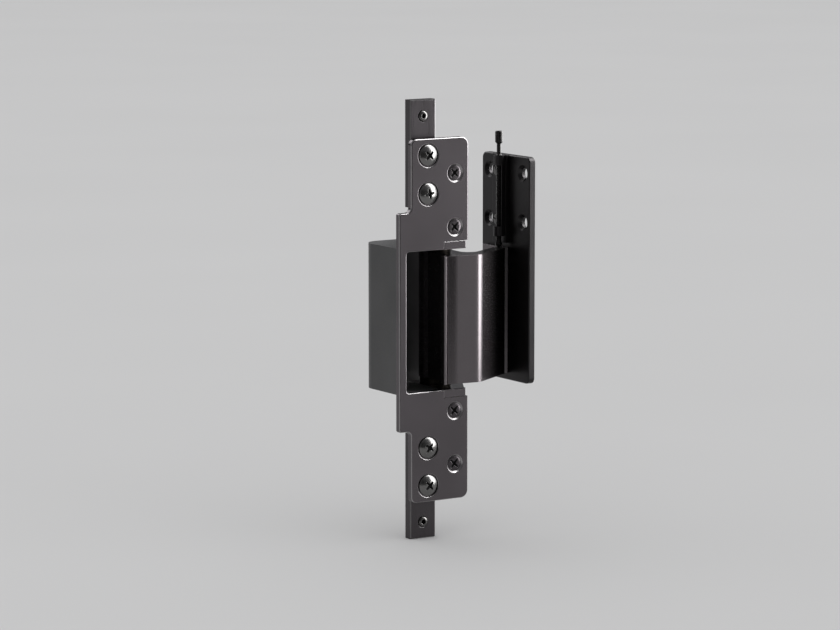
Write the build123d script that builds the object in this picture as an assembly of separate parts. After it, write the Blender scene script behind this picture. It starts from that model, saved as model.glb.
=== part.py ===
# Concealed door hinge: frame pocket, swan-neck arm and height-adjustable leaf bracket.
# Frame: X across the cover plate, Y into the frame profile, Z up.
# Origin: back of the cover plate, at mid height, 25.2 mm left of its right edge.
import math
import os

from build123d import *

# Clearances
thread_gap = 0.05
run_gap = 0.03
slide_gap = 0.10
hole_gap = 0.35
seam_gap = 0.12

# Cover plate on the frame profile
plate_t = 3.0
plate_h = 183.0
plate_right = 25.2
plate_neck_left = -8.7
plate_wide_left = -15.8
plate_wide_h = 110.0
plate_corner_r = 4.0
plate_neck_r = 3.0
plate_step_r = 2.5
plate_edge = 0.7
lead_in = 0.45
fine_edge = 0.3

# Pocket behind the cover plate
pocket_left = -11.3
pocket_depth = 36.0
pocket_wall = 1.5
pocket_corner_r = 1.5
pocket_sweep_r = 8.0

# Fastener lines, as distances from the plate's ends, its right edge and the bearer tongue
pan_x = 1.4
pan_insets = (8.3, 27.5)
csk_inset = 7.9
anchor_inset = 17.9
bearer_inset = 7.0
anchor_reach = 16.0
bearer_reach = 12.0
tap_run_out = 2.0
pan_recess = 0.8
pan_recess_gap = 0.7
csk_recess = 0.65
pan_turns = (45, 48, -12, 38)

# Metric screws: shank and head radius, head height, and the recess's span, width and depth
m6_r = 3.0
m6_head_r = 5.25
m6_head_h = 2.4
m6_dome_h = 1.7
m6_cross = (5.9, 1.25, 1.6)
m5_r = 2.5
m5_head_r = 4.0
m5_neck_r = 2.6
m5_cross = (5.2, 1.0, 1.5)
m3_r = 1.5
m3_head_r = 2.75
m3_head_h = 1.9

# Clamp bars behind the lips of the profile groove
groove_lip = 2.0
bar_w = 15.0
bar_t = 6.0
bar_end = 7.0
bar_out = 19.2
set_out = 11.0
set_len = 8.0
set_proud = 0.6
set_lead = 0.6
set_crown = 0.35
set_flat_r = 1.55
bar_edge = 0.5

# Pivot axis and its bearers
pivot_x = 21.15
pivot_y = 21.0
pin_r = 4.0
pin_hold = 10.6
tongue_x0 = 10.8
tongue_inset = 1.4
tongue_h = 4.1
tongue_edge = 0.4
bearer_side = 9.35
bearer_depth = 31.0
bearer_cap = 5.5
liner_up = 5.6
liner_front = 9.0
liner_back = 7.0
liner_land = 1.35

# Swan-neck arm
arm_h = 64.6
arm_t = 7.0
knuckle_r = 8.5
bush_wall = 1.5
bush_len = 14.0
flange_r = 8.0
flange_t = 3.0
leg_angle = 31.6
roof_angle = 6.5
roof_x = 18.45
roof_y = -6.6
bend_r = 8.0
lip_x0 = 8.55
lip_w = 1.6
lip_proud = 1.47
groove_w = 1.35
groove_drop = 1.5
shoulder_w = 3.7
shoulder_angle = 18.0
lip_depth = 4.6
neck_depth = 5.6
web_left = 6.55
web_right = 5.85

# Arm foot and leaf plate
foot_x1 = 58.15
foot_t = 2.5
foot_slope = 0.9
foot_y0 = 9.4
foot_y1 = 30.0
leaf_t = 3.5
leaf_front = 18.1
leaf_back = 4.0
leaf_low = 3.7
leaf_rise = 47.2
leaf_corner_r = 3.0
leaf_hole_inset_y = (6.2, 6.5)
leaf_hole_inset_z = (8.5, 33.5)

# Height adjustment
travel = 2.0
travel_gap = 0.3
slot_inset = 5.5
slot_zs = (20.0, -20.0)
shoulder_r = 3.0
slot_head_r = 4.6
slot_head_h = 2.4
washer_r = 5.4
washer_t = 1.0
rail_t = 2.2
rail_w = 5.4
rail_inset = 0.6
base_t = 1.95
base_flange = 6.2
base_screw_inset = 3.3
lug_h = 5.0
lug_r = 2.6
spindle_r = 1.45
ball_r = 1.8
neck_r = 1.1
neck_h = 6.6
cap_r = 1.95
cap_h = 5.6
cap_taper = 0.9
pad_r = 2.6
pad_t = 1.2

# Values that follow from the ones above
half = plate_h / 2
wide_half = plate_wide_h / 2
arm_half = arm_h / 2
pocket_half = arm_half + flange_t + slide_gap
pan_zs = tuple(half - inset for inset in pan_insets)
csk_x = plate_right - csk_inset
anchor_z = half - anchor_inset
bearer_z = pocket_half + tongue_h + bearer_inset
bar_z0 = min(pan_zs) - bar_end
bar_z1 = half + bar_out
set_z = half + set_out
tongue_x1 = plate_right - tongue_inset
pin_half = pocket_half + pin_hold
bearer_x1 = pivot_x + bearer_side
bearer_top = bearer_z + bearer_cap
liner_z = pocket_half + liner_up
liner_ys = (liner_front, bearer_depth - liner_back)
liner_reach = pivot_x - pin_r - liner_land - tongue_x0
bush_r = pin_r + run_gap + bush_wall
foot_x0 = foot_x1 - foot_t
leaf_x0 = foot_x1 + slide_gap
leaf_x1 = leaf_x0 + leaf_t
leaf_y0 = foot_y0 - leaf_front
leaf_y1 = foot_y1 + leaf_back
leaf_z0 = -arm_half - leaf_low
leaf_z1 = arm_half + leaf_rise
leaf_hole_ys = (leaf_y0 + leaf_hole_inset_y[0], leaf_y1 - leaf_hole_inset_y[1])
leaf_hole_zs = tuple(leaf_z1 - inset for inset in leaf_hole_inset_z)
slot_y = foot_y1 - slot_inset
ball_z = arm_half + ball_r
rail_x1 = leaf_x0 - base_t
rail_x0 = rail_x1 - rail_t
rail_y0 = foot_y0 + rail_inset
rail_y1 = rail_y0 + rail_w
rail_z0 = ball_z + ball_r + travel + travel_gap
base_y1 = rail_y1 + base_flange
base_z0 = arm_half + travel + travel_gap
base_screw_y = base_y1 - base_screw_inset
spindle_y = (rail_y0 + rail_y1) / 2


# Primitives given by their limits
def block(x0, x1, y0, y1, z0, z1):
    return Pos((x0 + x1) / 2, (y0 + y1) / 2, (z0 + z1) / 2) * Box(x1 - x0, y1 - y0, z1 - z0)


def rod_x(y, z, r, x0, x1):
    return Pos((x0 + x1) / 2, y, z) * Rot(0, 90, 0) * Cylinder(r, x1 - x0)


def rod_y(x, z, r, y0, y1):
    return Pos(x, (y0 + y1) / 2, z) * Rot(-90, 0, 0) * Cylinder(r, y1 - y0)


def rod_z(x, y, r, z0, z1):
    return Pos(x, y, (z0 + z1) / 2) * Cylinder(r, z1 - z0)


def cone_y(x, z, r0, r1, y0, y1):
    return Pos(x, (y0 + y1) / 2, z) * Rot(-90, 0, 0) * Cone(r0, r1, y1 - y0)


def cone_x(y, z, r0, r1, x0, x1):
    return Pos((x0 + x1) / 2, y, z) * Rot(0, 90, 0) * Cone(r0, r1, x1 - x0)


# Closed outline from corner points with a radius at each corner
def rounded_face(corners):
    edges = []
    joints = []
    n = len(corners)
    for i in range(n):
        x, y, r = corners[i]
        ax, ay, _ = corners[i - 1]
        bx, by, _ = corners[(i + 1) % n]
        ua = unit(ax - x, ay - y)
        ub = unit(bx - x, by - y)
        cos_full = max(-1.0, min(1.0, ua[0] * ub[0] + ua[1] * ub[1]))
        turn = math.acos(cos_full)
        if r <= 0 or turn > math.pi - 1e-4:
            joints.append(((x, y), None, (x, y)))
            continue
        reach = r / math.tan(turn / 2)
        mid = unit(ua[0] + ub[0], ua[1] + ub[1])
        depth = r / math.sin(turn / 2) - r
        start = (x + ua[0] * reach, y + ua[1] * reach)
        end = (x + ub[0] * reach, y + ub[1] * reach)
        joints.append((start, (x + mid[0] * depth, y + mid[1] * depth), end))
    for i in range(n):
        start, middle, end = joints[i]
        if middle is not None:
            edges.append(Edge.make_three_point_arc(start + (0,), middle + (0,), end + (0,)))
        following = joints[(i + 1) % n][0]
        if math.dist(end, following) > 1e-6:
            edges.append(Edge.make_line(end + (0,), following + (0,)))
    return Face(Wire(edges))


def unit(dx, dy):
    size = math.hypot(dx, dy)
    return (dx / size, dy / size)


# Prism along Z from a face in X and Y
def prism_z(face, z0, z1):
    return Pos(0, 0, z0) * extrude(face, z1 - z0, dir=(0, 0, 1))


# Prism along Y from a face drawn with X across and Z up
def prism_y(face, y0, y1):
    solid = extrude(face, y1 - y0, dir=(0, 0, 1))
    return Pos(0, y1, 0) * Rot(90, 0, 0) * solid


# Prism along X from a face drawn with Y across and Z up
def prism_x(face, x0, x1):
    solid = extrude(face, x1 - x0, dir=(0, 0, 1))
    return Pos(x0, 0, 0) * Rot(90, 90, 0) * solid


# Cross recess for a driver, pointing into the head along Y
def cross_y(x, z, y0, size, turn):
    span, width, depth = size
    bar = Box(span, depth, width)
    across = Box(width, depth, span)
    return Pos(x, y0 + depth / 2, z) * Rot(0, turn, 0) * (bar + across)


def both_signs(values):
    return [s * v for v in values for s in (1, -1)]


# Cover plate with open side, bearer notches and countersinks
def frame_plate():
    r = plate_corner_r
    s = plate_step_r
    e = tongue_x0 - seam_gap
    t = pocket_half + tongue_h + seam_gap
    corners = [
        (plate_neck_left, half, plate_neck_r), (plate_right, half, r), (plate_right, t, 0), (e, t, 0),
        (e, pocket_half, 0), (pocket_left, pocket_half, pocket_corner_r),
        (pocket_left, -pocket_half, pocket_corner_r), (e, -pocket_half, 0), (e, -t, 0),
        (plate_right, -t, 0), (plate_right, -half, r), (plate_neck_left, -half, plate_neck_r),
        (plate_neck_left, -wide_half, s), (plate_wide_left, -wide_half, 1.2),
        (plate_wide_left, wide_half, 1.2), (plate_neck_left, wide_half, s),
    ]
    plate = prism_y(rounded_face(corners), -plate_t, 0)
    front = plate.faces().sort_by(Axis.Y)[0]
    rounded = [edge for edge in front.outer_wire().edges() if not in_notch(edge.center())]
    plate = fillet(rounded, plate_edge)
    for z in both_signs(pan_zs):
        plate -= rod_y(pan_x, z, m6_r + hole_gap, -plate_t - 1, 1)
        plate -= pan_recess_y(z)
    for z in both_signs((anchor_z, bearer_z)):
        plate -= csk_hole_y(csk_x, z)
    circles = plate.edges().filter_by(GeomType.CIRCLE).group_by(Axis.Y)[0]
    return fillet([edge for edge in circles if edge.radius > m5_head_r], lead_in)


# True on the edges of the two notches that hold the bearer tongues
def in_notch(point):
    notch_top = pocket_half + tongue_h + 2 * seam_gap
    return point.X > tongue_x0 - 2 * seam_gap and pocket_half < abs(point.Z) < notch_top


# Shallow round recess for a pan head
def pan_recess_y(z):
    return rod_y(pan_x, z, m6_head_r + pan_recess_gap, -plate_t - 1, -plate_t + pan_recess)


def csk_hole_y(x, z):
    top = m5_head_r + csk_recess + thread_gap
    low = m5_neck_r + hole_gap
    sink = cone_y(x, z, top, low, -plate_t, -plate_t + top - low)
    through = rod_y(x, z, low, -plate_t + top - low, 1)
    return sink + through


# Pan-head screw through the plate into a clamp bar
def pan_screw(z, turn):
    seat = -plate_t + pan_recess
    top = seat - m6_head_h
    crown = (m6_head_r ** 2 + m6_dome_h ** 2) / (2 * m6_dome_h)
    dome = Pos(pan_x, top + crown, z) * Sphere(crown)
    head = rod_y(pan_x, z, m6_head_r, top, seat) & dome
    shank = rod_y(pan_x, z, m6_r - thread_gap, seat, groove_lip + bar_t + 3)
    screw = head + shank
    tip = screw.edges().filter_by(GeomType.CIRCLE).sort_by(Axis.Y)[-1]
    screw = chamfer(tip, 0.8)
    return screw - cross_y(pan_x, z, top, m6_cross, turn)


# Countersunk screw, just below the plate front, with a plain neck inside the plate
def csk_screw(z, reach):
    top = -plate_t + csk_recess
    y_neck = top + m5_head_r - m5_neck_r
    head = cone_y(csk_x, z, m5_head_r, m5_neck_r, top, y_neck)
    neck = rod_y(csk_x, z, m5_neck_r, y_neck, 0)
    shank = rod_y(csk_x, z, m5_r - thread_gap, 0, reach)
    screw = head + neck + shank
    tip = screw.edges().filter_by(GeomType.CIRCLE).sort_by(Axis.Y)[-1]
    screw = chamfer(tip, 0.7)
    return screw - cross_y(csk_x, z, top, m5_cross, 45)


# Clamp bar for the profile groove with two tapped holes and one for the set screw
def clamp_bar(sign):
    z0, z1 = sorted((sign * bar_z0, sign * bar_z1))
    y0 = groove_lip
    y1 = groove_lip + bar_t
    bar = block(pan_x - bar_w / 2, pan_x + bar_w / 2, y0, y1, z0, z1)
    back = bar.faces().sort_by(Axis.Y)[-1]
    bar = chamfer(back.edges(), 1.2)
    front = bar.faces().sort_by(Axis.Y)[0]
    bar = chamfer(front.edges(), bar_edge)
    for z in pan_zs:
        bar -= rod_y(pan_x, sign * z, m6_r, y0 - 1, y1 + 1)
    bar -= cone_y(pan_x, sign * set_z, m5_r + set_lead, m5_r, y0, y0 + set_lead)
    return bar - rod_y(pan_x, sign * set_z, m5_r, y0 - 1, y1 + 1)


# Crowned set screw with a hexagon socket, bearing on the groove floor
def set_screw(sign):
    z = sign * set_z
    r = m5_r - thread_gap
    y0 = groove_lip - set_proud
    y1 = groove_lip + set_len
    body = rod_y(pan_x, z, r, y0 + set_crown, y1)
    body = chamfer(body.edges().filter_by(GeomType.CIRCLE).sort_by(Axis.Y)[-1], 0.5)
    crown = cone_y(pan_x, z, set_flat_r, r, y0, y0 + set_crown)
    hexagon = extrude(RegularPolygon(1.44, 6), 2.6)
    return body + crown - Pos(pan_x, y0, z) * Rot(-90, 0, 0) * hexagon


# Sheet pocket liner, open to the front and to the right
def frame_housing():
    w = pocket_wall
    h = pocket_half
    d = pocket_depth
    x0 = pocket_left - w
    x1 = bearer_x1 - 2
    r = pocket_sweep_r
    wall = [
        (x0, 0, 0), (pocket_left, 0, 0), (pocket_left, d, r), (x1, d, 0), (x1, d + w, 0), (x0, d + w, r + w),
    ]
    cover = [(x0, 0, 0), (tongue_x0 - w, 0, 0), (tongue_x0 - w, d + w, 0), (x0, d + w, r + w)]
    liner = prism_z(rounded_face(wall), -h - w, h + w)
    for s in (1, -1):
        z0, z1 = sorted((s * h, s * (h + w)))
        liner += prism_z(rounded_face(cover), z0, z1)
        z0, z1 = sorted((s * h, s * (bearer_z - 1)))
        liner += block(tongue_x0 - w, tongue_x0, 3, bearer_depth - 1, z0, z1)
        for y in liner_ys:
            liner -= rod_x(y, s * liner_z, m3_r + 0.15, tongue_x0 - w - 1, tongue_x0 + 1)
    return liner


# Bearer of the pivot pin with the tongue that shows in the plate notch
def pivot_bearer(s):
    h = pocket_half
    plan = [
        (tongue_x0, 0, 0), (plate_right - 0.6, 0, 0), (bearer_x1, 10.0, 4.0),
        (bearer_x1, bearer_depth, 6.0), (tongue_x0, bearer_depth, 0.6),
    ]
    z0, z1 = sorted((s * h, s * bearer_top))
    body = prism_z(rounded_face(plan), z0, z1)
    z0, z1 = sorted((s * h, s * (h + tongue_h)))
    tongue = block(tongue_x0, tongue_x1, -plate_t, 0, z0, z1)
    front = tongue.faces().sort_by(Axis.Y)[0]
    tongue = fillet(front.edges(), tongue_edge)
    bearer = body + tongue
    z0, z1 = sorted((s * (h - 1), s * (pin_half + 0.2)))
    bearer -= rod_z(pivot_x, pivot_y, pin_r + run_gap, z0, z1)
    bearer -= rod_y(csk_x, s * bearer_z, m5_r, -0.5, bearer_reach + tap_run_out)
    for y in liner_ys:
        bearer -= rod_x(y, s * liner_z, m3_r, tongue_x0 - 0.5, tongue_x0 + liner_reach + liner_land / 2)
    return bearer - rod_x(pivot_y, s * liner_z, m3_r, pivot_x + pin_r - 1, bearer_x1 + 1)


# Screw that holds the liner to a bearer
def housing_screw(y, z):
    seat = tongue_x0 - pocket_wall
    head = rod_x(y, z, m3_head_r, seat - m3_head_h, seat)
    head = fillet(head.edges().filter_by(GeomType.CIRCLE).sort_by(Axis.X)[0], 0.8)
    shank = rod_x(y, z, m3_r - thread_gap, seat, tongue_x0 + liner_reach)
    slot = block(seat - m3_head_h - 0.1, seat - m3_head_h + 1, y - 2, y + 2, z - 0.35, z + 0.35)
    return head + shank - slot


# Grub screw that locks the pin in its bearer
def lock_screw(s):
    z = s * liner_z
    x0 = pivot_x + pin_r
    x1 = bearer_x1 - 0.4
    body = rod_x(pivot_y, z, m3_r - thread_gap, x0, x1)
    hexagon = extrude(RegularPolygon(0.86, 6), 1.8)
    return body - Pos(x1, pivot_y, z) * Rot(0, -90, 0) * hexagon


def pivot_pin():
    pin = rod_z(pivot_x, pivot_y, pin_r, -pin_half, pin_half)
    return chamfer(pin.edges().filter_by(GeomType.CIRCLE), 0.6)


# Flanged bush in one end of the knuckle
def bush(s):
    z0, z1 = sorted((s * (arm_half - bush_len), s * arm_half))
    sleeve = rod_z(pivot_x, pivot_y, bush_r, z0, z1)
    z0, z1 = sorted((s * arm_half, s * (arm_half + flange_t)))
    flange = rod_z(pivot_x, pivot_y, flange_r, z0, z1)
    z0, z1 = sorted((s * (arm_half - bush_len - 1), s * (arm_half + flange_t + 1)))
    return sleeve + flange - rod_z(pivot_x, pivot_y, pin_r + run_gap, z0, z1)


# Height of the outer leg line and of the roof line at a given X
def leg_y(x):
    return foot_y0 + 0.3 - math.tan(math.radians(leg_angle)) * (foot_x1 - 0.3 - x)


def roof_line(x):
    return roof_y - math.tan(math.radians(roof_angle)) * (x - roof_x)


# Plan outline of the arm: lip, groove, shoulder, roof, bend, raked leg and foot
def arm_outline():
    k_leg = math.tan(math.radians(leg_angle))
    k_roof = math.tan(math.radians(roof_angle))
    bend_x = (roof_line(0) - leg_y(0)) / (k_leg + k_roof)
    inner = arm_t / math.cos(math.radians(leg_angle))
    lip_x1 = lip_x0 + lip_w
    left_x = lip_x1 + groove_w
    shoulder_x = left_x + shoulder_w
    left_y = roof_line(shoulder_x) + math.tan(math.radians(shoulder_angle)) * shoulder_w
    lip_y = left_y - lip_proud
    groove_y = left_y + groove_drop
    web_x0 = pivot_x - web_left
    web_x1 = pivot_x + web_right
    flank = 0.88 * knuckle_r
    return [
        (lip_x0, lip_y, 0.3), (lip_x1, lip_y, 0.2), (lip_x1, groove_y, 0),
        (left_x, groove_y, 0), (left_x, left_y, 0.4), (shoulder_x, roof_line(shoulder_x), 15.0),
        (bend_x, roof_line(bend_x), bend_r), (foot_x0 - 0.9, leg_y(foot_x0 - 0.9), 0.5),
        (foot_x0 - 0.9, foot_y0 + 2, 0), (foot_x0 - 0.2, foot_y0 + 2, 0),
        (foot_x0 - 0.2, foot_y0 + foot_slope, 0.4), (foot_x1, foot_y0, 0.4),
        (foot_x1, foot_y1, 0.6), (foot_x0, foot_y1, 0.6),
        (foot_x0, leg_y(foot_x0) + inner, 2.5), (web_x1, leg_y(web_x1) + inner, 5.0),
        (pivot_x + flank, pivot_y, 0), (pivot_x - flank, pivot_y, 0),
        (web_x0, lip_y + neck_depth, 3.0), (lip_x0, lip_y + lip_depth, 1.6),
    ]


def swing_arm():
    arm = prism_z(rounded_face(arm_outline()), -arm_half, arm_half)
    arm += rod_z(pivot_x, pivot_y, knuckle_r, -arm_half, arm_half)
    arm -= rod_z(pivot_x, pivot_y, pin_r + 0.4, -arm_half - 1, arm_half + 1)
    for s in (1, -1):
        z0, z1 = sorted((s * (arm_half - bush_len), s * (arm_half + 1)))
        arm -= rod_z(pivot_x, pivot_y, bush_r, z0, z1)
    width = shoulder_r + slide_gap
    for z in slot_zs:
        arm -= rod_x(slot_y, z - travel - 0.2, width, foot_x0 - 1, foot_x1 + 1)
        arm -= rod_x(slot_y, z + travel + 0.2, width, foot_x0 - 1, foot_x1 + 1)
        arm -= block(foot_x0 - 1, foot_x1 + 1, slot_y - width, slot_y + width,
                     z - travel - 0.2, z + travel + 0.2)
    return arm - rod_z(rail_x0, spindle_y, pad_r, arm_half - pad_t, arm_half + 1)


# Hard seat under the ball of the spindle
def spindle_seat():
    return rod_z(rail_x0, spindle_y, pad_r, arm_half - pad_t, arm_half)


# Leaf plate with countersunk holes and tapped holes for the slot screws
def leaf_plate():
    r = leaf_corner_r
    corners = [(leaf_y0, leaf_z0, r), (leaf_y1, leaf_z0, r), (leaf_y1, leaf_z1, r), (leaf_y0, leaf_z1, r)]
    plate = prism_x(rounded_face(corners), leaf_x0, leaf_x1)
    front = plate.faces().sort_by(Axis.X)[0]
    plate = chamfer(front.outer_wire().edges(), lead_in)
    top = m5_head_r + 0.3
    low = m5_r + 0.2
    for y in leaf_hole_ys:
        for z in leaf_hole_zs:
            plate -= cone_x(y, z, top, low, leaf_x0, leaf_x0 + top - low)
            plate -= rod_x(y, z, low, leaf_x0, leaf_x1 + 1)
    for z in slot_zs:
        plate -= rod_x(slot_y, z, m5_r, leaf_x0 - 1, leaf_x1 + 1)
    for z in leaf_hole_zs:
        plate -= rod_x(base_screw_y, z, m3_r, leaf_x0 - 1, leaf_x1 + 1)
    return plate


# Guide rail for the spindle with two tapped lugs and a screwed base
def leaf_upright():
    rail = block(rail_x0, rail_x1, rail_y0, rail_y1, rail_z0, leaf_z1)
    base = block(rail_x1, leaf_x0, foot_y0, base_y1, base_z0, leaf_z1)
    upright = rail + base
    for z0 in (rail_z0, leaf_z1 - lug_h):
        lug = rod_z(rail_x0, spindle_y, lug_r, z0, z0 + lug_h)
        upright += lug
    upright -= rod_z(rail_x0, spindle_y, spindle_r + 0.35, rail_z0 + lug_h, leaf_z1 - lug_h)
    upright -= rod_z(rail_x0, spindle_y, spindle_r + thread_gap, rail_z0 - 1, leaf_z1 + 1)
    top = m3_head_r + thread_gap
    low = m3_r + thread_gap
    for z in leaf_hole_zs:
        upright -= cone_x(base_screw_y, z, top, low, rail_x1, rail_x1 + top - low)
        upright -= rod_x(base_screw_y, z, low, rail_x1, leaf_x0 + 1)
    return upright


# Countersunk screw that holds the rail base to the leaf plate
def upright_screw(z):
    y = base_screw_y
    low = m3_r - thread_gap
    head = cone_x(y, z, m3_head_r, low, rail_x1, rail_x1 + m3_head_r - low)
    shank = rod_x(y, z, low, rail_x1 + m3_head_r - low, leaf_x1 - 0.2)
    slot = block(rail_x1 - 0.1, rail_x1 + 0.7, y - 2, y + 2, z - 0.35, z + 0.35)
    return head + shank - slot


# Spindle: cap with socket, neck, thread and ball end
def height_spindle():
    z_neck = leaf_z1
    z_cap = z_neck + neck_h
    ball = Pos(rail_x0, spindle_y, ball_z) * Sphere(ball_r)
    thread = rod_z(rail_x0, spindle_y, spindle_r, ball_z, z_neck)
    neck = rod_z(rail_x0, spindle_y, neck_r, z_neck, z_cap)
    cap = rod_z(rail_x0, spindle_y, cap_r, z_cap, z_cap + cap_h)
    cap = chamfer(cap.edges().filter_by(GeomType.CIRCLE).sort_by(Axis.Z)[-1], fine_edge)
    cap += Pos(rail_x0, spindle_y, z_cap - cap_taper / 2) * Cone(neck_r, cap_r, cap_taper)
    hexagon = extrude(RegularPolygon(1.15, 6), 2.5)
    socket = Pos(rail_x0, spindle_y, z_cap + cap_h - 2.5) * hexagon
    return ball + thread + neck + cap - socket


# Shoulder screw that guides the foot on the leaf plate
def slot_screw(z):
    seat = foot_x0 - washer_t - slide_gap
    head = rod_x(slot_y, z, slot_head_r, seat - slot_head_h, seat)
    head = chamfer(head.edges().filter_by(GeomType.CIRCLE).sort_by(Axis.X)[0], 0.4)
    shoulder = rod_x(slot_y, z, shoulder_r, seat, leaf_x0)
    thread = rod_x(slot_y, z, m5_r - thread_gap, leaf_x0, leaf_x1 - 0.2)
    hexagon = extrude(RegularPolygon(2.0, 6), 1.8)
    socket = Pos(seat - slot_head_h, slot_y, z) * Rot(0, 90, 0) * hexagon
    return head + shoulder + thread - socket


def slot_washer(z):
    seat = foot_x0 - slide_gap
    ring = rod_x(slot_y, z, washer_r, seat - washer_t, seat)
    return ring - rod_x(slot_y, z, shoulder_r + run_gap, seat - washer_t - 1, seat + 1)


def save(name, shapes):
    group = shapes if isinstance(shapes, list) else [shapes]
    solids = [solid for shape in group for solid in shape.solids()]
    whole = solids[0] if len(solids) == 1 else Compound(children=solids)
    whole.label = name
    export_step(whole, f"parts/{name}.step")


os.makedirs("parts", exist_ok=True)
save("frame_plate", frame_plate())
save("frame_housing", frame_housing())
save("upper_pivot_bearer", pivot_bearer(1))
save("lower_pivot_bearer", pivot_bearer(-1))
save("upper_clamp_bar", clamp_bar(1))
save("lower_clamp_bar", clamp_bar(-1))
save("clamp_set_screws", [set_screw(1), set_screw(-1)])
save("clamp_pan_screws", [pan_screw(z, turn) for z, turn in zip(both_signs(pan_zs), pan_turns)])
save("bearer_screws", [csk_screw(z, bearer_reach) for z in both_signs((bearer_z,))])
save("anchor_screws", [csk_screw(z, anchor_reach) for z in both_signs((anchor_z,))])
save("housing_screws", [housing_screw(y, z) for y in liner_ys for z in both_signs((liner_z,))])
save("pin_lock_screws", [lock_screw(1), lock_screw(-1)])
save("pivot_pin", pivot_pin())
save("upper_bush", bush(1))
save("lower_bush", bush(-1))
save("swing_arm", swing_arm())
save("spindle_seat", spindle_seat())
save("leaf_plate", leaf_plate())
save("leaf_upright", leaf_upright())
save("upright_screws", [upright_screw(z) for z in leaf_hole_zs])
save("height_spindle", height_spindle())
save("slot_screws", [slot_screw(z) for z in slot_zs])
save("slot_washers", [slot_washer(z) for z in slot_zs])
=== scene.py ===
# Looks of the concealed door hinge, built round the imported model. Metres, Z up.
import math

import bpy
import bmesh
from mathutils import Matrix, Vector


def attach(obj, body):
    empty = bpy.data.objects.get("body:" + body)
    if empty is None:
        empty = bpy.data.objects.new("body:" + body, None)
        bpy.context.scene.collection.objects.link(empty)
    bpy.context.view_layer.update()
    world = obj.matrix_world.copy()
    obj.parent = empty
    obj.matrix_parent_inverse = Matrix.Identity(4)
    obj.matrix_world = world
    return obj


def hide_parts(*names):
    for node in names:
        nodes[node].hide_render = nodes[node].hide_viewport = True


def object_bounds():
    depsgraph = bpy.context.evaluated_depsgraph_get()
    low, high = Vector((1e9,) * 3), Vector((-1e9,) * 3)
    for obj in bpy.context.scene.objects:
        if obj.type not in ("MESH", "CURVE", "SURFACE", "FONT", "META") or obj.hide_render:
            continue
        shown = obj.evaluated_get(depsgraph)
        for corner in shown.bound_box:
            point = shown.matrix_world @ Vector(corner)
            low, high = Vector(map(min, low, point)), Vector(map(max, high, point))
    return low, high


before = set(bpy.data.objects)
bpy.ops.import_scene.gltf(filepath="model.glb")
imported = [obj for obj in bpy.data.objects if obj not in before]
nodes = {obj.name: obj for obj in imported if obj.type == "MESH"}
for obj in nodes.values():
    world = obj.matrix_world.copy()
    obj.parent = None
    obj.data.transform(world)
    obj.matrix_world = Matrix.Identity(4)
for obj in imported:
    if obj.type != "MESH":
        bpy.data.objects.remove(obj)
cad_low, cad_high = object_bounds()
scene = bpy.context.scene
MM = 0.001

# Camera at the photograph's angle
CAMERA_AT = Vector((-0.9727, -1.5073, 0.2548))
CAMERA_TO = Vector((-0.00722, -0.00856, 0.00459))
CAMERA_LENS = 155.43
CAMERA_SENSOR = 36.0
CAMERA_CLIP = (0.05, 30.0)


def make_camera():
    data = bpy.data.cameras.new("camera")
    data.sensor_width = CAMERA_SENSOR
    data.lens = CAMERA_LENS
    data.clip_start, data.clip_end = CAMERA_CLIP
    cam = bpy.data.objects.new("camera", data)
    cam.location = CAMERA_AT
    cam.rotation_mode = "QUATERNION"
    cam.rotation_quaternion = (CAMERA_TO - CAMERA_AT).to_track_quat("-Z", "Y")
    scene.collection.objects.link(cam)
    scene.camera = cam


make_camera()


# Node helpers. A socket is fed with a plain value or with the output of another node
def feed(tree, socket, value):
    if isinstance(value, bpy.types.NodeSocket):
        tree.links.new(value, socket)
    else:
        socket.default_value = value


def new_material(name):
    mat = bpy.data.materials.new(name)
    mat.use_nodes = True
    tree = mat.node_tree
    return mat, tree, tree.nodes["Principled BSDF"]


EVEN = (1, 1, 1)


def noise(tree, coord, scale, detail, stretch=EVEN):
    mapping = tree.nodes.new("ShaderNodeMapping")
    feed(tree, mapping.inputs["Scale"], stretch)
    feed(tree, mapping.inputs["Vector"], coord)
    tex = tree.nodes.new("ShaderNodeTexNoise")
    feed(tree, tex.inputs["Scale"], scale)
    feed(tree, tex.inputs["Detail"], detail)
    feed(tree, tex.inputs["Vector"], mapping.outputs["Vector"])
    return tex.outputs["Fac"]


# Part of the noise's range that is spread over the whole of a ramp
NOISE_SPAN = (0.3, 0.7)


def ramp(tree, fac, low, high, at=NOISE_SPAN):
    node = tree.nodes.new("ShaderNodeMapRange")
    feed(tree, node.inputs["From Min"], at[0])
    feed(tree, node.inputs["From Max"], at[1])
    feed(tree, node.inputs["To Min"], low)
    feed(tree, node.inputs["To Max"], high)
    feed(tree, node.inputs["Value"], fac)
    return node.outputs["Result"]


def mix_colour(tree, fac, a, b):
    node = tree.nodes.new("ShaderNodeMix")
    node.data_type = "RGBA"
    feed(tree, node.inputs["A"], a)
    feed(tree, node.inputs["B"], b)
    feed(tree, node.inputs["Factor"], fac)
    return node.outputs["Result"]


def reckon(tree, operation, *values):
    node = tree.nodes.new("ShaderNodeMath")
    node.operation = operation
    for socket, value in zip(node.inputs, values):
        feed(tree, socket, value)
    return node.outputs["Value"]


def along_y(tree, vector):
    split = tree.nodes.new("ShaderNodeSeparateXYZ")
    feed(tree, split.inputs["Vector"], vector)
    return split.outputs["Y"]


# Mask of the front bevels that get the painted highlight: the normal leans between along and
# across
# Y, and Y lies before a limit
BEVEL_RISE = (0.20, 0.40)
BEVEL_FALL = (0.86, 0.97)
FRONT_FADE = 0.0004


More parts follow.
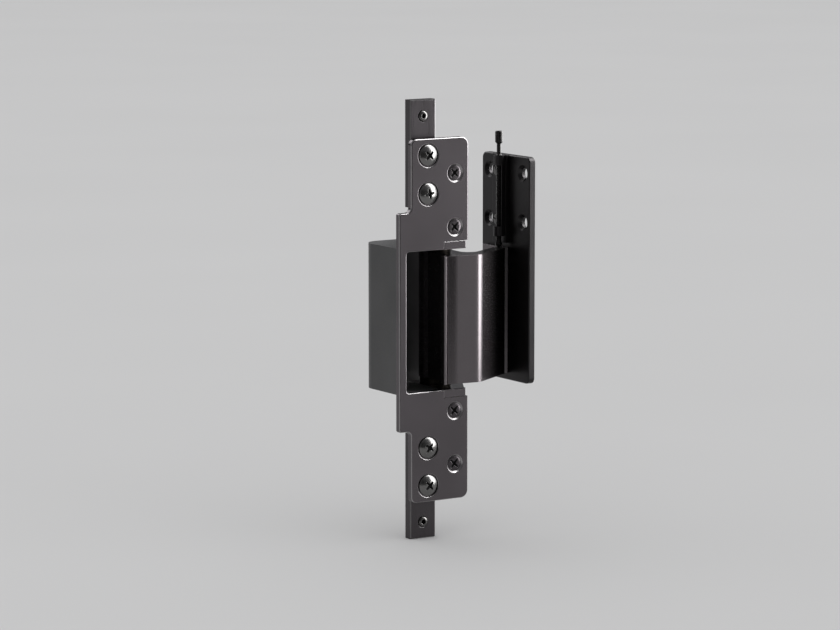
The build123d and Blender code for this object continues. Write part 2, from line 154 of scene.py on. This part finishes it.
def front_bevels(tree, coord, limit):
    lean = reckon(tree, "ABSOLUTE", along_y(tree, coord.node.outputs["Normal"]))
    rise = ramp(tree, lean, 0.0, 1.0, BEVEL_RISE)
    fall = ramp(tree, lean, 1.0, 0.0, BEVEL_FALL)
    before = ramp(tree, along_y(tree, coord), 1.0, 0.0, (limit, limit + FRONT_FADE))
    return reckon(tree, "MULTIPLY", reckon(tree, "MULTIPLY", rise, fall), before)


# Grain as bump over edges that are rounded in the shading
GRAIN_STRENGTH = 0.25
EDGE_RADIUS = 0.0002
EDGE_SAMPLES = 8


def relief(tree, grain, depth):
    rounding = tree.nodes.new("ShaderNodeBevel")
    rounding.samples = EDGE_SAMPLES
    feed(tree, rounding.inputs["Radius"], EDGE_RADIUS)
    node = tree.nodes.new("ShaderNodeBump")
    feed(tree, node.inputs["Strength"], GRAIN_STRENGTH)
    feed(tree, node.inputs["Distance"], depth)
    feed(tree, node.inputs["Height"], grain)
    feed(tree, node.inputs["Normal"], rounding.outputs["Normal"])
    return node.outputs["Normal"]


# Finish: tone drifts over the surface, a fine grain carries bump and roughness, edges are rounded,
# and where an edge colour is given the front bevels take it in patches and are a little rougher:
# rubbed-bare wear and a painted highlight in one
DRIFT_SCALE = 35.0
DRIFT_DETAIL = 2.0
GRAIN_DETAIL = 3.0
PATCH_SCALE = 160.0
PATCH_DETAIL = 3.0
PATCH_SHARE = (0.75, 1.0)
WORN_ROUGHER = 0.12
# Y that the paler front bevels (wear and painted highlight) lie before, and depths of the grain
PLATE_WEAR_AND_HIGHLIGHT_Y = -0.001
BAR_WEAR_AND_HIGHLIGHT_Y = 0.004
FAINT, FINE, PLAIN, COARSE = 0.000006, 0.00001, 0.00002, 0.00006


def finish(name, dark, light, rough, grain_scale, stretch=EVEN, depth=PLAIN, metallic=1.0,
           edge_wear_and_highlight=None, wear_and_highlight_before=PLATE_WEAR_AND_HIGHLIGHT_Y):
    mat, tree, bsdf = new_material(name)
    coord = tree.nodes.new("ShaderNodeTexCoord").outputs["Object"]
    drift = noise(tree, coord, DRIFT_SCALE, DRIFT_DETAIL)
    grain = noise(tree, coord, grain_scale, GRAIN_DETAIL, stretch)
    tone = mix_colour(tree, ramp(tree, drift, 0.0, 1.0), (*dark, 1), (*light, 1))
    gloss = ramp(tree, grain, *rough)
    # Front bevels turn paler in patches: rubbed-bare wear and a painted highlight
    if edge_wear_and_highlight:
        patch = ramp(tree, noise(tree, coord, PATCH_SCALE, PATCH_DETAIL), *PATCH_SHARE)
        wear_and_highlight_mask = reckon(tree, "MULTIPLY", front_bevels(tree, coord, wear_and_highlight_before), patch)
        tone = mix_colour(tree, wear_and_highlight_mask, tone, (*edge_wear_and_highlight, 1))
        gloss = reckon(tree, "MULTIPLY_ADD", wear_and_highlight_mask, WORN_ROUGHER, gloss)
    feed(tree, bsdf.inputs["Base Color"], tone)
    feed(tree, bsdf.inputs["Roughness"], gloss)
    feed(tree, bsdf.inputs["Normal"], relief(tree, grain, depth))
    feed(tree, bsdf.inputs["Metallic"], metallic)
    return mat


# Each finish: name, dark and light tone, roughness from and to, scale of the grain
# Paler tones of the front bevels: rubbed-bare wear and a painted highlight of the edges
EDGE_WEAR_AND_HIGHLIGHT = (0.33, 0.32, 0.323)
BAR_EDGE_WEAR_AND_HIGHLIGHT = (0.20, 0.194, 0.196)
ALONG_BAR = (1, 1, 0.05)
ROUND_PIN = (1, 1, 20)
plate_metal = finish("plate_metal", (0.102, 0.093, 0.098), (0.120, 0.109, 0.116), (0.18, 0.24),
                     2600.0, depth=FINE, edge_wear_and_highlight=EDGE_WEAR_AND_HIGHLIGHT)
arm_metal = finish("arm_metal", (0.126, 0.114, 0.119), (0.143, 0.130, 0.136), (0.22, 0.28),
                   3200.0, depth=FAINT)
bearer_metal = finish("bearer_metal", (0.102, 0.093, 0.098), (0.120, 0.109, 0.116), (0.18, 0.24),
                      2600.0, depth=FINE, edge_wear_and_highlight=EDGE_WEAR_AND_HIGHLIGHT)
bar_metal = finish("bar_metal", (0.062, 0.057, 0.060), (0.075, 0.069, 0.073), (0.26, 0.34),
                   1800.0, ALONG_BAR, edge_wear_and_highlight=BAR_EDGE_WEAR_AND_HIGHLIGHT, wear_and_highlight_before=BAR_WEAR_AND_HIGHLIGHT_Y)
# Near-black tone of the leaf side: painted shade, as it lies in shadow
leaf_metal = finish("leaf_metal", (0.032, 0.031, 0.032), (0.040, 0.038, 0.039), (0.32, 0.44),
                    2600.0)
bright_screw = finish("bright_screw", (0.16, 0.157, 0.155), (0.19, 0.187, 0.184), (0.20, 0.27),
                      2200.0)
dark_screw = finish("dark_screw", (0.062, 0.056, 0.060), (0.076, 0.069, 0.073), (0.20, 0.27),
                    2200.0)
steel_small = finish("steel_small", (0.20, 0.195, 0.19), (0.27, 0.265, 0.26), (0.24, 0.34),
                     2200.0)
steel_pin = finish("steel_pin", (0.34, 0.335, 0.33), (0.42, 0.415, 0.41), (0.14, 0.20),
                   1500.0, ROUND_PIN)
# Near-black tone of the height spindle: painted shade, as it lies in the leaf side's shadow
steel_spindle = finish("steel_spindle", (0.024, 0.023, 0.023), (0.036, 0.035, 0.034), (0.22, 0.32),
                       2200.0)
bush_bronze = finish("bush_bronze", (0.026, 0.023, 0.020), (0.038, 0.033, 0.028), (0.40, 0.52),
                     1800.0)
dark_steel = finish("dark_steel", (0.11, 0.107, 0.105), (0.15, 0.146, 0.143), (0.22, 0.30),
                    2200.0)
# Near-black matte faces inside the driver recesses: painted shade
recess_painted_shade = finish("recess_painted_shade", (0.006, 0.006, 0.006), (0.014, 0.013, 0.013), (0.55, 0.75),
                     1800.0, metallic=0.0)
liner_plastic = finish("liner_plastic", (0.042, 0.042, 0.043), (0.060, 0.060, 0.061), (0.36, 0.50),
                       1400.0, depth=COARSE, metallic=0.0)

NODE_LOOKS = {
    "frame_plate": plate_metal, "frame_housing": liner_plastic,
    "upper_pivot_bearer": bearer_metal, "lower_pivot_bearer": bearer_metal,
    "upper_clamp_bar": bar_metal, "lower_clamp_bar": bar_metal,
    "clamp_set_screws": steel_small, "clamp_pan_screws": bright_screw,
    "bearer_screws": dark_screw, "anchor_screws": dark_screw,
    "housing_screws": steel_small, "pin_lock_screws": steel_small, "pivot_pin": steel_pin,
    "upper_bush": bush_bronze, "lower_bush": bush_bronze,
    "swing_arm": arm_metal, "spindle_seat": steel_small,
    "leaf_plate": leaf_metal, "leaf_upright": leaf_metal, "upright_screws": steel_small,
    "height_spindle": steel_spindle, "slot_screws": steel_small, "slot_washers": steel_small,
}


def dress_nodes():
    for name, mat in NODE_LOOKS.items():
        mesh = nodes[name].data
        mesh.materials.clear()
        mesh.materials.append(mat)


dress_nodes()


# Turned and threaded forms, in millimetres, along +Z of their own frame with the driven end up.
# A profile is a list of (radius, z) from the driven end on; a row adds the depth of the thread.
M6 = {"r": 2.95, "pitch": 1.0, "cut": 0.5}
M5 = {"r": 2.45, "pitch": 0.8, "cut": 0.42}
M5_SHOULDER = {"r": 2.45, "pitch": 0.8, "cut": 0.4}
M3 = {"r": 1.45, "pitch": 0.5, "cut": 0.26}
M3_SPINDLE = {"r": 1.45, "pitch": 0.5, "cut": 0.24}
ROWS_PER_TURN = 8
FLANK = 1.5
CREST = 0.25


# Share of the thread's depth that is cut away at a given phase of the pitch
def groove(phase):
    rise = (0.5 - abs(phase - 0.5)) / 0.5
    return min(1.0, max(0.0, rise * FLANK - CREST))


# A thread that runs out at both ends
def thread_rows(thread, z_top, z_low):
    pitch = thread["pitch"]
    count = max(ROWS_PER_TURN, round((z_top - z_low) / pitch * ROWS_PER_TURN))
    rows = []
    for i in range(count + 1):
        z = z_top + (z_low - z_top) * i / count
        fade = min(1.0, (z_top - z) / pitch, (z - z_low) / pitch)
        rows.append((thread["r"], z, thread["cut"] * fade))
    return rows


def plain_rows(profile):
    return [(radius, z, 0) for radius, z in profile]


def turned(rows, sides, pitch):
    bm = bmesh.new()
    rings = []
    for radius, z, cut in rows:
        ring = []
        for i in range(sides):
            share = i / sides
            r = radius - cut * groove((z / pitch - share) % 1.0)
            a = math.tau * share
            ring.append(bm.verts.new((r * math.cos(a), r * math.sin(a), z)))
        rings.append(ring)
    for upper, lower in zip(rings, rings[1:]):
        for i in range(sides):
            k = (i + 1) % sides
            bm.faces.new((upper[i], lower[i], lower[k], upper[k]))
    for ring, z, up in ((rings[0], rows[0][1], True), (rings[-1], rows[-1][1], False)):
        centre = bm.verts.new((0, 0, z))
        for i in range(sides):
            k = (i + 1) % sides
            bm.faces.new((centre, ring[i], ring[k]) if up else (centre, ring[k], ring[i]))
    return bm


# Prism between two outlines of equal count, lower one first
def loft(low, z_low, high, z_high):
    bm = bmesh.new()
    n = len(low)
    under = [bm.verts.new((x, y, z_low)) for x, y in low]
    over = [bm.verts.new((x, y, z_high)) for x, y in high]
    bm.faces.new(list(reversed(under)))
    bm.faces.new(over)
    for i in range(n):
        k = (i + 1) % n
        bm.faces.new((under[i], under[k], over[k], over[i]))
    return bm


# Driver recesses, from a little above the head down to their floor. The cross narrows downwards:
# its sizes at the floor and the bevel of its inner corners are shares of those at the head
CROSS_TIP = 0.72
CROSS_FLOOR = {"reach": 0.5, "width": 0.55, "corner": 0.4}
CROSS_CORNER = 0.7
CROSS_OVER = 0.35
STRAIGHT_OVER = 0.3


# Cross outline with bevelled inner corners
def cross_outline(reach, width, corner):
    tip = width * CROSS_TIP
    arm = [(reach, -tip), (reach, tip), (width + corner, width), (width, width + corner)]
    points = []
    for quarter in range(4):
        a = math.tau / 4 * quarter
        c, s = math.cos(a), math.sin(a)
        points += [(x * c - y * s, x * s + y * c) for x, y in arm]
    return points


def cross_recess(top, depth, reach, width):
    slope = 1.0 + CROSS_OVER / depth
    floor = cross_outline(reach * CROSS_FLOOR["reach"], width * CROSS_FLOOR["width"],
                          width * CROSS_FLOOR["corner"])
    mouth = cross_outline(reach * slope, width * slope, width * CROSS_CORNER)
    return loft(floor, top - depth, mouth, top + CROSS_OVER)


def hex_recess(top, depth, radius):
    angles = [math.tau * i / 6 for i in range(6)]
    outline = [(radius * math.cos(a), radius * math.sin(a)) for a in angles]
    return loft(outline, top - depth, outline, top + STRAIGHT_OVER)


def slot_recess(top, depth, reach, width):
    outline = [(-reach, -width), (reach, -width), (reach, width), (-reach, width)]
    return loft(outline, top - depth, outline, top + STRAIGHT_OVER)


def temporary(bm, mat):
    mesh = bpy.data.meshes.new("part")
    bm.to_mesh(mesh)
    bm.free()
    mesh.materials.append(mat)
    obj = bpy.data.objects.new("part", mesh)
    scene.collection.objects.link(obj)
    return obj


# Body minus recess; faces of the recess keep the cutter's near-black painted shade
def driven(body, recess, mat):
    obj = temporary(body, mat)
    cutter = temporary(recess, recess_painted_shade)
    cut = obj.modifiers.new("recess", "BOOLEAN")
    cut.operation = "DIFFERENCE"
    cut.solver = "EXACT"
    cut.material_mode = "TRANSFER"
    cut.object = cutter
    bpy.context.view_layer.update()
    graph = bpy.context.evaluated_depsgraph_get()
    mesh = bpy.data.meshes.new_from_object(obj.evaluated_get(graph))
    for used in (obj, cutter):
        data = used.data
        bpy.data.objects.remove(used)
        bpy.data.meshes.remove(data)
    return mesh


# Screw from the profile of its head, a thread between two heights and the profile of its tip
def screw(mat, head, thread, span, tip, sides, recess):
    rows = plain_rows(head) + thread_rows(thread, *span) + plain_rows(tip)
    return driven(turned(rows, sides, thread["pitch"]), recess, mat)


# One piece for a node: copies of a mesh at several places
FACING = {
    "-Y": Matrix.Rotation(math.radians(90), 4, "X"),
    "-X": Matrix.Rotation(math.radians(-90), 4, "Y"),
    "+X": Matrix.Rotation(math.radians(90), 4, "Y"),
    "+Z": Matrix.Identity(4),
}
SHARP = math.radians(32)


def fasten(name, node, body, mesh, facing, places):
    bm = bmesh.new()
    for x, y, z, turn in places:
        copy = mesh.copy()
        spin = Matrix.Rotation(math.radians(turn), 4, "Z")
        place = Matrix.Scale(MM, 4) @ Matrix.Translation((x, y, z))
        copy.transform(place @ FACING[facing] @ spin)
        bm.from_mesh(copy)
        bpy.data.meshes.remove(copy)
    final = bpy.data.meshes.new(name)
    bm.to_mesh(final)
    bm.free()
    for mat in mesh.materials:
        final.materials.append(mat)
    final.shade_smooth()
    final.set_sharp_from_angle(angle=SHARP)
    piece = bpy.data.objects.new(name, final)
    scene.collection.objects.link(piece)
    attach(piece, body)
    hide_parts(node)
    bpy.data.meshes.remove(mesh)


# Sizes shared with the solids, in millimetres. A turn is that of the driver recess, in degrees;
# the liner's screws have Y, side and turn
PLATE_T = 3.0
BAR_FRONT = 2.0
BAR_BACK = 8.0
CLAMP_X = 1.4
PAN = {"r": 5.25, "h": 2.4, "dome": 1.7, "rim": 0.1, "edge": 0.12, "sunk": 0.8,
       "runout": 0.4, "past_bar": 3.0, "tip": 0.7, "tip_in": 0.8}
PAN_Z_TURNS = ((83.2, 45), (64.0, 12), (-64.0, 52), (-83.2, 42))
CSK = {"r": 4.0, "edge": 0.12, "edge_in": 0.25, "neck": 2.6, "sunk": 0.65, "x": 17.3,
       "runout": 0.05, "tip": 0.7}
BEARER_Z, BEARER_REACH = 46.5, 12.0
ANCHOR_Z, ANCHOR_REACH = 73.6, 16.0
SET_Y, SET_Z = BAR_FRONT - 0.6, 102.5
HOUSING_X, HOUSING_Z = 9.3, 41.0
HOUSING_SPOTS = ((9, 1, 20), (9, -1, 70), (24, 1, 55), (24, -1, 5))
LOCK_X, LOCK_Y, LOCK_Z = 30.1, 21, 41.0
RAIL_X, RAIL_Y, RAIL_ZS = 56.3, 18.3, (71.0, 46.0)
SLOT_X, SLOT_Y, SLOT_Z = 54.55, 24.5, 20.0
SPINDLE_X, SPINDLE_Y, SPINDLE_TOP = 54.1, 12.7, 91.7
BALL = {"r": 1.8, "z": 34.1, "from": 48, "sweep": 130, "steps": 8}
UNDER_HEAD = -0.001


# Profile of a dome from near its middle to its rim
def dome(radius, height, top, steps):
    crown = (radius ** 2 + height ** 2) / (2 * height)
    widest = math.asin(radius / crown)
    angles = [widest * i / steps for i in range(1, steps + 1)]
    return [(crown * math.sin(a), top - crown * (1 - math.cos(a))) for a in angles]


def make_pan_screws():
    r, top, edge = PAN["r"], PAN["h"], PAN["edge"]
    seat = -PLATE_T + PAN["sunk"]
    reach = BAR_BACK + PAN["past_bar"] - seat
    head = dome(r - edge, PAN["dome"] - edge / 2, top, steps=12)
    head += [(r, top - PAN["dome"] - PAN["rim"]), (r, edge), (r - edge, 0)]
    head += [(M6["r"], UNDER_HEAD)]
    mesh = screw(bright_screw, head, M6, span=(-PAN["runout"], -reach + PAN["tip"]),
                 tip=[(M6["r"] - PAN["tip_in"], -reach)], sides=48,
                 recess=cross_recess(top, depth=1.8, reach=2.95, width=0.66))
    places = [(CLAMP_X, seat, z, turn) for z, turn in PAN_Z_TURNS]
    fasten("pan_screws_fine", "clamp_pan_screws", "frame", mesh, "-Y", places)


def make_csk_screws(name, node, z, reach):
    r, neck = CSK["r"], CSK["neck"]
    seat = -PLATE_T + CSK["sunk"]
    head = [(1.0, 0), (2.2, 0), (r - CSK["edge_in"], 0), (r, -CSK["edge"]),
            (neck, neck - r), (neck, seat + CSK["runout"])]
    mesh = screw(dark_screw, head, M5, span=(seat, seat - reach + CSK["tip"]),
                 tip=[(M5["r"] - CSK["tip"], seat - reach)], sides=40,
                 recess=cross_recess(top=0, depth=1.5, reach=2.60, width=0.52))
    fasten(name, node, "frame", mesh, "-Y",
           [(CSK["x"], seat, z, 45), (CSK["x"], seat, -z, 48)])


# Socket set screws in the bars, with a rounded end
def make_set_screws():
    head = [(1.5, 0.02), (1.6, 0), (1.9, -0.07), (2.2, -0.19), (2.4, -0.33), (2.45, -0.5)]
    mesh = screw(dark_steel, head, M5, span=(-0.6, -8.1), tip=[(1.95, -8.6)], sides=40,
                 recess=hex_recess(top=0, depth=2.6, radius=1.44))
    fasten("set_screws_fine", "clamp_set_screws", "frame", mesh, "-Y",
           [(CLAMP_X, SET_Y, SET_Z, 10), (CLAMP_X, SET_Y, -SET_Z, 25)])


# Slotted pan screws of the liner
def make_housing_screws():
    top = 1.9
    head = [(0.9, top), (1.95, top), (2.35, 1.79), (2.62, 1.52), (2.75, 1.1), (2.75, 0.08),
            (2.67, 0), (M3["r"], UNDER_HEAD)]
    mesh = screw(steel_small, head, M3, span=(-0.1, -6.0), tip=[(1.1, -6.5)], sides=32,
                 recess=slot_recess(top, depth=1.0, reach=4.0, width=0.35))
    fasten("housing_screws_fine", "housing_screws", "frame", mesh, "-X",
           [(HOUSING_X, y, side * HOUSING_Z, turn) for y, side, turn in HOUSING_SPOTS])


# Socket grub screws that lock the pin
def make_lock_screws():
    head = [(0.95, 0), (1.2, 0), (M3["r"], -0.25)]
    mesh = screw(dark_steel, head, M3, span=(-0.25, -4.6), tip=[(1.15, -4.95)], sides=32,
                 recess=hex_recess(top=0, depth=1.8, radius=0.86))
    fasten("lock_screws_fine", "pin_lock_screws", "frame", mesh, "+X",
           [(LOCK_X, LOCK_Y, LOCK_Z, 8), (LOCK_X, LOCK_Y, -LOCK_Z, 21)])


# Slotted countersunk screws of the guide rail
def make_upright_screws():
    head = [(0.9, 0), (2.6, 0), (2.75, -0.1), (M3["r"], -1.3)]
    mesh = screw(dark_steel, head, M3, span=(-1.4, -4.8), tip=[(1.1, -5.25)], sides=32,
                 recess=slot_recess(top=0, depth=0.7, reach=4.0, width=0.35))
    fasten("upright_screws_fine", "upright_screws", "leaf", mesh, "-X",
           [(RAIL_X, RAIL_Y, z, turn) for z, turn in zip(RAIL_ZS, (30, 75))])


# Socket shoulder screws in the slots of the foot
def make_slot_screws():
    top = 2.4
    shoulder = 3.0
    head = [(2.3, top), (4.2, top), (4.6, 2.0), (4.6, 0.1), (4.5, 0),
            (shoulder, UNDER_HEAD), (shoulder, -3.6), (M5_SHOULDER["r"], -3.7)]
    mesh = screw(dark_steel, head, M5_SHOULDER, span=(-3.8, -6.6), tip=[(2.1, -7.0)], sides=40,
                 recess=hex_recess(top, depth=1.8, radius=2.0))
    fasten("slot_screws_fine", "slot_screws", "leaf", mesh, "-X",
           [(SLOT_X, SLOT_Y, SLOT_Z, 12), (SLOT_X, SLOT_Y, -SLOT_Z, 40)])


# Height spindle: socket cap, thin neck, thread and ball end
def make_spindle():
    top = SPINDLE_TOP
    cap, neck = 1.95, 1.1
    head = [(1.3, top), (1.65, top), (cap, top - 0.3), (cap, 86.2), (1.88, 86.0),
            (neck, 85.2), (neck, 79.9), (M3_SPINDLE["r"], 79.5)]
    tip = [(1.2, 36.4)]
    for i in range(1, BALL["steps"] + 1):
        a = math.radians(BALL["from"] + BALL["sweep"] * i / BALL["steps"])
        tip.append((BALL["r"] * math.sin(a), BALL["z"] + BALL["r"] * math.cos(a)))
    mesh = screw(steel_spindle, head, M3_SPINDLE, span=(79.4, 37.0), tip=tip, sides=32,
                 recess=hex_recess(top, depth=2.5, radius=1.15))
    fasten("spindle_fine", "height_spindle", "spindle", mesh, "+Z",
           [(SPINDLE_X, SPINDLE_Y, 0, 0)])


make_pan_screws()
make_csk_screws("bearer_screws_fine", "bearer_screws", BEARER_Z, BEARER_REACH)
make_csk_screws("anchor_screws_fine", "anchor_screws", ANCHOR_Z, ANCHOR_REACH)
make_set_screws()
make_housing_screws()
make_lock_screws()
make_upright_screws()
make_slot_screws()
make_spindle()

# Stage: floor, far wall and a dark card, each with a faint drift between two greys
PAINT_SCALE = 3.0
PAINT_DETAIL = 2.0
PAINT_ROUGHNESS = 0.8
FLOOR_GREYS = (0.60, 0.63)
FLOOR_HALF = 15
FLOOR_GAP = 0.0002
WALL_GREYS = (0.80, 0.83)
WALL_RADIUS = 8
WALL_TOP = 3.6
WALL_SIDES = 64
CARD_GREYS = (0.015, 0.025)
CARD_AZIMUTHS = (-38, 16)
CARD_REACH = 0.60
CARD_TOP = 0.30
ONE_FACE = [(0, 1, 2, 3)]


def stage_mesh(name, points, faces, greys):
    mesh = bpy.data.meshes.new(name)
    mesh.from_pydata(points, [], faces)
    surface = bpy.data.objects.new(name, mesh)
    scene.collection.objects.link(surface)
    mat, tree, bsdf = new_material(name + "_paint")
    coord = tree.nodes.new("ShaderNodeTexCoord").outputs["Object"]
    drift = noise(tree, coord, PAINT_SCALE, PAINT_DETAIL)
    dark, light = [(grey, grey, grey, 1) for grey in greys]
    feed(tree, bsdf.inputs["Base Color"], mix_colour(tree, drift, dark, light))
    feed(tree, bsdf.inputs["Roughness"], PAINT_ROUGHNESS)
    mesh.materials.append(mat)
    return surface


def make_floor():
    half, z = FLOOR_HALF, cad_low.z - FLOOR_GAP
    points = [(-half, -half, z), (half, -half, z), (half, half, z), (-half, half, z)]
    return stage_mesh("floor", points, ONE_FACE, FLOOR_GREYS)


# Pale wall far behind the floor on all sides, left out of the metal's reflections
def make_wall():
    points = []
    for i in range(WALL_SIDES):
        a = math.tau * i / WALL_SIDES
        for z in (cad_low.z, WALL_TOP):
            points.append((WALL_RADIUS * math.cos(a), WALL_RADIUS * math.sin(a), z))
    ring = [2 * i for i in range(WALL_SIDES)] + [0]
    faces = [(a, b, b + 1, a + 1) for a, b in zip(ring, ring[1:])]
    wall = stage_mesh("wall", points, faces, WALL_GREYS)
    wall.visible_glossy = False
    wall.visible_diffuse = False
    wall.visible_shadow = False
    return wall


# Dark card beside the camera, seen only in the metal: it shades the flanks that face left
def make_card():
    left, right = [math.radians(angle) for angle in CARD_AZIMUTHS]
    low, high = cad_low.z, CARD_TOP
    points = []
    for a, z in ((left, low), (right, low), (right, high), (left, high)):
        points.append((CARD_REACH * math.sin(a), -CARD_REACH * math.cos(a), z))
    card = stage_mesh("card", points, ONE_FACE, CARD_GREYS)
    card.visible_camera = False
    card.visible_diffuse = False
    card.visible_shadow = False


# Each light: azimuth and elevation in degrees, distance, width and height, radiance, aim
MIDDLE = (0, 0, 0)
LIGHTS = {
    "key": (100, 14, 0.70, (0.75, 0.62), 5.0, (0, 0, 0.04)),
    "top": (75, 58, 0.85, (0.55, 0.50), 8.0, MIDDLE),
    "strip": (60, 0, 0.55, (0.22, 0.75), 10.0, (0, 0, 0.27)),
    "fill": (24, 0, 0.75, (0.42, 0.60), 0.08, (0, 0, 0.20)),
    "left": (-110, 18, 0.9, (0.25, 0.7), 1.6, MIDDLE),
    "back": (190, 40, 1.1, (0.9, 0.8), 2.4, MIDDLE),
    "overhead": (150, 90, 4.0, (24.0, 24.0), 0.82, MIDDLE),
}
WORLD_COLOUR = (0.16, 0.16, 0.165, 1)
WORLD_STRENGTH = 1.0


# Objects that a light skips or that it lights alone
def light_group(name, members, state):
    group = bpy.data.collections.new(name)
    for member in members:
        group.objects.link(member)
    for entry in group.collection_objects:
        entry.light_linking.link_state = state
    return group


def area_light(name, group):
    azimuth, elevation, distance, size, radiance, aim = LIGHTS[name]
    a = math.radians(azimuth)
    e = math.radians(elevation)
    back = Vector((math.sin(a) * math.cos(e), -math.cos(a) * math.cos(e), math.sin(e)))
    data = bpy.data.lights.new(name, "AREA")
    data.shape = "RECTANGLE"
    data.size, data.size_y = size
    data.energy = radiance * math.pi * size[0] * size[1]
    light = bpy.data.objects.new(name, data)
    light.location = Vector(aim) + back * distance
    light.rotation_mode = "QUATERNION"
    light.rotation_quaternion = (-back).to_track_quat("-Z", "Y")
    light.visible_camera = False
    light.light_linking.receiver_collection = group
    scene.collection.objects.link(light)


# The strong lights skip floor and wall, which stay evenly pale under a light of their own. The top
# light also skips the clamp bars, which lie in a groove in the photograph
def make_light(surfaces):
    world = bpy.data.worlds.new("studio")
    world.use_nodes = True
    background = world.node_tree.nodes["Background"]
    background.inputs["Color"].default_value = WORLD_COLOUR
    background.inputs["Strength"].default_value = WORLD_STRENGTH
    scene.world = world
    part = light_group("part", surfaces, "EXCLUDE")
    bars = [nodes["upper_clamp_bar"], nodes["lower_clamp_bar"]]
    not_bars = light_group("part_but_bars", surfaces + bars, "EXCLUDE")
    area_light("key", part)
    area_light("top", not_bars)
    area_light("strip", part)
    area_light("fill", part)
    area_light("left", part)
    area_light("back", part)
    area_light("overhead", light_group("stage", surfaces, "INCLUDE"))
    scene.view_settings.view_transform = "Standard"


make_light([make_floor(), make_wall()])
make_card()
